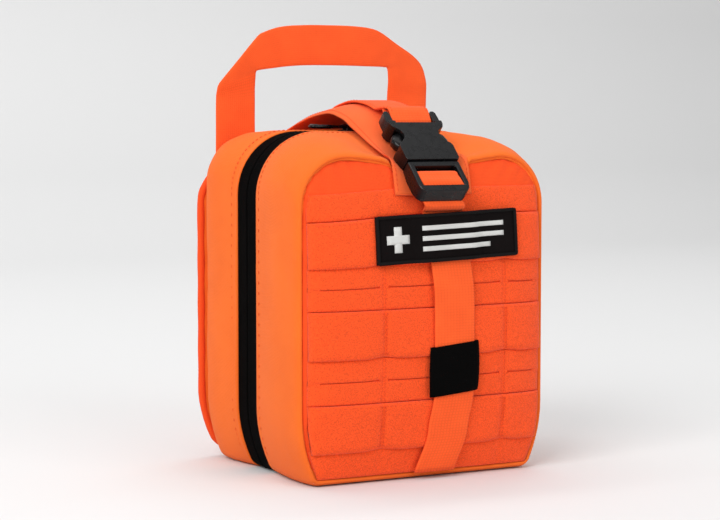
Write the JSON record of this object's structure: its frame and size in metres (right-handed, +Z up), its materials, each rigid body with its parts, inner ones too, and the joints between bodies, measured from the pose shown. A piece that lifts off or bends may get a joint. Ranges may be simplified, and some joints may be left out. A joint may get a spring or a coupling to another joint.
{
  "type": "first aid kit",
  "caption": "Soft clamshell first aid pouch with a wrap-round zip, webbing-faced front, buckled top flap, carry handle and tear-off back panel.",
  "frame": {"origin": "on the base plane, under the middle of the whole part's bounding box", "axes": "+Z up along the height, -Y out of the webbing-faced front, +X to the right seen from the front"},
  "size_m": [0.146, 0.1424, 0.254],
  "materials": {
    "orange_nylon": "matt",
    "loop_cloth": "fuzzy",
    "orange_webbing": "ribbed",
    "black_tape": "matt",
    "black_elastic": "ribbed",
    "black_plastic": "satin",
    "foam_board": "matt",
    "patch_black": "matt",
    "patch_grey": "stitched",
    "dark_lining": "matt",
    "white_gauze": "soft",
    "beige_bandage": "crepe",
    "packet_film": "satin",
    "steel": "brushed",
    "snap_metal": "satin"
  },
  "bodies": {
    "rear_half": {"rear_shell": "orange_nylon", "rear_binding": "orange_nylon", "rear_zip_tape": "black_tape", "rear_zip_coil": "black_plastic", "rear_hinge_strip": "orange_nylon", "rear_stiffener": "foam_board", "rear_loop_field": "black_tape", "rear_organiser": "dark_lining", "roll_elastics": "black_elastic", "bandage_roll_large": "beige_bandage", "bandage_roll_small": "white_gauze", "wound_dressing": "packet_film", "handle_anchors": "orange_webbing", "flap_anchor": "orange_nylon"},
    "front_half": {"front_shell": "orange_nylon", "front_binding": "orange_nylon", "front_zip_tape": "black_tape", "front_zip_coil": "black_plastic", "front_hinge_strip": "orange_nylon", "front_stiffener": "foam_board", "front_panel": "orange_nylon", "panel_piping": "orange_nylon", "plain_band": "orange_nylon", "raised_strip_upper": "loop_cloth", "slit_band_upper": "loop_cloth", "raised_strip_middle": "loop_cloth", "slit_band_lower": "loop_cloth", "raised_strip_lower": "loop_cloth", "bar_tacks": "orange_webbing", "front_strap": "orange_webbing", "buckle_male": "black_plastic", "front_organiser": "dark_lining", "gauze_packet": "white_gauze", "glove_packet": "packet_film", "shears_half_fixed": "steel", "shears_rivet": "steel", "shears_keeper": "black_elastic"},
    "shears_blade": {"shears_half_moving": "steel"},
    "prong_left_arm": {"prong_left": "black_plastic"},
    "prong_right_arm": {"prong_right": "black_plastic"},
    "keeper": {"strap_keeper": "black_elastic"},
    "patch": {"patch_base": "patch_black", "patch_border": "patch_black", "patch_cross": "patch_grey"},
    "flap": {"top_flap": "orange_nylon", "flap_webbing": "orange_webbing", "buckle_female": "black_plastic"},
    "handle": {"carry_handle": "orange_webbing"},
    "slider_left": {"zip_slider_left": "snap_metal"},
    "slider_right": {"zip_slider_right": "snap_metal"},
    "pull_left": {"zip_pull_left": "black_plastic"},
    "pull_right": {"zip_pull_right": "black_plastic"},
    "rear_panel": {"rear_board": "orange_nylon", "rear_board_binding": "orange_nylon", "rear_hook_field": "black_tape", "rear_rows": "orange_webbing", "rear_straps": "orange_webbing", "rear_snaps": "snap_metal"}
  },
  "joints": [
    {"name": "case_open", "type": "hinge", "parent": "rear_half", "child": "front_half", "pos_m": [0, 0.00828, 0.0029], "axis": [1, 0, 0], "range_deg": [0, 75]},
    {"name": "flap_open", "type": "hinge", "parent": "rear_half", "child": "flap", "pos_m": [0, 0.05278, 0.1928], "axis": [-1, 0, 0], "range_deg": [0, 70], "deforming": ["top_flap", "flap_webbing"]},
    {"name": "handle_swing", "type": "hinge", "parent": "rear_half", "child": "handle", "pos_m": [0, 0.06248, 0.19], "axis": [-1, 0, 0], "range_deg": [-40, 85]},
    {"name": "zip_slide_left", "type": "slide", "parent": "rear_half", "child": "slider_left", "axis": [-1, 0, 0], "range_m": [0, 0.013]},
    {"name": "zip_slide_right", "type": "slide", "parent": "rear_half", "child": "slider_right", "axis": [1, 0, 0], "range_m": [0, 0.013]},
    {"name": "zip_pull_left_lift", "type": "hinge", "parent": "slider_left", "child": "pull_left", "pos_m": [-0.011, 0.00828, 0.1937], "axis": [0, 1, 0], "range_deg": [0, 50]},
    {"name": "zip_pull_right_lift", "type": "hinge", "parent": "slider_right", "child": "pull_right", "pos_m": [0.011, 0.00828, 0.1937], "axis": [0, -1, 0], "range_deg": [0, 25]},
    {"name": "keeper_slide", "type": "hinge", "parent": "front_half", "child": "keeper", "pos_m": [0, 0.24928, 0.088], "axis": [1, 0, 0], "range_deg": [-7, 5]},
    {"name": "patch_peel", "type": "slide", "parent": "front_half", "child": "patch", "axis": [0, -1, 0], "range_m": [0, 0.05]},
    {"name": "prong_left_squeeze", "type": "hinge", "parent": "front_half", "child": "prong_left_arm", "pos_m": [-0.0039, -0.05362, 0.1761], "axis": [0, 0.7071, -0.7071], "range_deg": [0, 8], "stiffness_Nm_per_rad": 0.4},
    {"name": "prong_right_squeeze", "type": "hinge", "parent": "front_half", "child": "prong_right_arm", "pos_m": [0.0159, -0.05362, 0.1761], "axis": [0, -0.7071, 0.7071], "range_deg": [0, 8], "stiffness_Nm_per_rad": 0.4},
    {"name": "panel_rip", "type": "slide", "parent": "rear_half", "child": "rear_panel", "axis": [0, 1, 0], "range_m": [0, 0.08]},
    {"name": "shears_open", "type": "hinge", "parent": "front_half", "child": "shears_blade", "pos_m": [0, -0.03842, 0.096], "axis": [0, -1, 0], "range_deg": [0, 30]}
  ],
  "couplings": [
    {"joint": "flap_open", "follows": "case_open", "ratio": 0.92}
  ]
}
